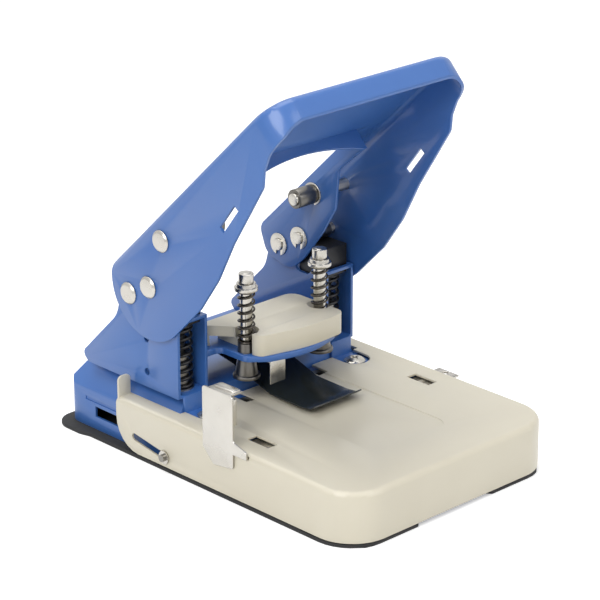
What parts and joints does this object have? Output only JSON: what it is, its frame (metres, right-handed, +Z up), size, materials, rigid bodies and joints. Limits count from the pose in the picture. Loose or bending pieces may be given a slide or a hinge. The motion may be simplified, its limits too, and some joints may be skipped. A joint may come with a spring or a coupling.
{
  "type": "heavy duty paper punch",
  "caption": "Lever-operated desk paper punch with spring-returned punches over dies, a sliding paper table, a side gauge and a raised pressed-sheet lever.",
  "frame": {"origin": "middle of the rubber mat's underside, on the floor", "axes": "+X to the machine's right, +Y to its back, +Z up; the lever is raised at rest"},
  "size_m": [0.237, 0.343, 0.3206],
  "materials": {
    "blue_paint": "satin powder coat",
    "beige_paint": "satin powder coat",
    "black_rubber": "matte moulded",
    "black_plastic": "satin moulded",
    "chrome": "bright plated",
    "steel": "turned",
    "spring_steel": "oil blackened"
  },
  "bodies": {
    "base": {"rubber_mat": "black_rubber", "chassis": "blue_paint", "table_glides": "black_plastic", "frame_left": "blue_paint", "frame_right": "blue_paint", "frame_screws": "chrome", "head_plate": "blue_paint", "head_block": "beige_paint", "paper_tongue": "chrome", "hold_down_strip": "black_plastic", "guide_bush_left": "steel", "guide_bush_right": "steel", "die_left": "steel", "die_right": "steel", "punch_spring_left": "spring_steel", "punch_spring_right": "spring_steel", "return_guide_left": "steel", "return_guide_right": "steel", "return_spring_left": "spring_steel", "return_spring_right": "spring_steel"},
    "lever": {"lever": "blue_paint", "lever_arm_left": "blue_paint", "lever_arm_right": "blue_paint", "pivot_pins": "chrome", "drive_pins": "chrome", "press_pins": "chrome", "drive_sleeves": "steel", "press_rollers": "chrome", "retaining_clips": "chrome"},
    "punch_left": {"punch_left": "chrome", "punch_washer_left": "chrome"},
    "punch_right": {"punch_right": "chrome", "punch_washer_right": "chrome"},
    "plunger_left": {"return_plunger_left": "steel"},
    "plunger_right": {"return_plunger_right": "steel"},
    "paper_table": {"table": "beige_paint"},
    "gauge": {"side_gauge": "chrome"},
    "cam": {"cam_rod": "steel", "rod_clips": "chrome"}
  },
  "joints": [
    {"name": "lever_hinge", "type": "hinge", "parent": "base", "child": "lever", "pos_m": [0, 0.0896, 0.1316], "axis": [1, 0, 0], "range_deg": [0, 48], "stiffness_Nm_per_rad": 3, "springref_deg": -68.75},
    {"name": "punch_left_slide", "type": "slide", "parent": "base", "child": "punch_left", "axis": [0, 0, -1], "range_m": [0, 0.0224], "deforming": ["punch_spring_left"]},
    {"name": "punch_right_slide", "type": "slide", "parent": "base", "child": "punch_right", "axis": [0, 0, -1], "range_m": [0, 0.0224], "deforming": ["punch_spring_right"]},
    {"name": "plunger_left_slide", "type": "slide", "parent": "base", "child": "plunger_left", "axis": [0, 0, -1], "range_m": [0, 0.0214], "deforming": ["return_spring_left"]},
    {"name": "plunger_right_slide", "type": "slide", "parent": "base", "child": "plunger_right", "axis": [0, 0, -1], "range_m": [0, 0.0214], "deforming": ["return_spring_right"]},
    {"name": "table_slide", "type": "slide", "parent": "base", "child": "paper_table", "axis": [0, -1, 0], "range_m": [0, 0.036]},
    {"name": "cam_lift", "type": "slide", "parent": "base", "child": "cam", "axis": [0, 0, 1], "range_m": [0, 0.0056]},
    {"name": "gauge_slide", "type": "slide", "parent": "paper_table", "child": "gauge", "axis": [-1, 0, 0], "range_m": [0, 0.045]}
  ],
  "couplings": [
    {"joint": "punch_left_slide", "follows": "lever_hinge", "m_per_rad": 0.026619},
    {"joint": "punch_right_slide", "follows": "lever_hinge", "m_per_rad": 0.026619},
    {"joint": "plunger_left_slide", "follows": "lever_hinge", "m_per_rad": 0.0254},
    {"joint": "plunger_right_slide", "follows": "lever_hinge", "m_per_rad": 0.0254},
    {"joint": "cam_lift", "follows": "table_slide", "ratio": 0.15302}
  ]
}
